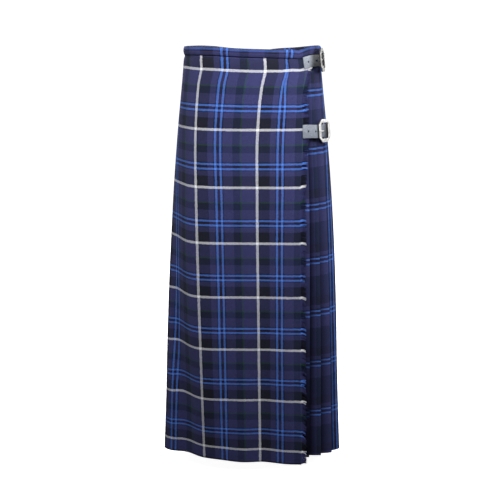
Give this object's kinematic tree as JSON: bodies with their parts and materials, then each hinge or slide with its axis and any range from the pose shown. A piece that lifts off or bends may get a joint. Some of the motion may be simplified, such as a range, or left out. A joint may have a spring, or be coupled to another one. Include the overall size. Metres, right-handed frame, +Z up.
{
  "type": "scottish kilt",
  "caption": "Full-length wrap kilt in blue tartan with a flat fringed apron, knife pleats, a waistband and buckled leather side straps, in its hollow worn form.",
  "frame": {"origin": "the middle of the waist at the height of the waistband's top edge, where the wearer's waist holds the kilt", "axes": "+Z up out of the waist, -Y the front of the apron, +X the wearer's left side, where the straps are"},
  "size_m": [0.4313, 0.2681, 0.9679],
  "materials": {
    "tartan": "worsted wool twill in a blue, violet and black tartan with white lines",
    "tartan_band": "the same wool twill, folded to a narrow waistband",
    "fringe_yarn": "loose wool weft yarn",
    "grey_leather": "smooth grey leather with a fine grain",
    "pewter": "polished pewter-coloured metal"
  },
  "bodies": {
    "root": {"outer_apron": "tartan", "under_apron": "tartan", "pleats_right": "tartan", "pleats_back": "tartan", "pleats_left": "tartan", "waistband_apron": "tartan_band", "waistband_pleats": "tartan_band", "waistband_under": "tartan_band", "apron_fringe": "fringe_yarn", "strap_upper": "grey_leather", "strap_lower": "grey_leather", "chape_upper": "grey_leather", "chape_lower": "grey_leather", "buckle_upper": "pewter", "buckle_lower": "pewter", "prong_upper": "pewter", "prong_lower": "pewter"}
  },
  "joints": []
}
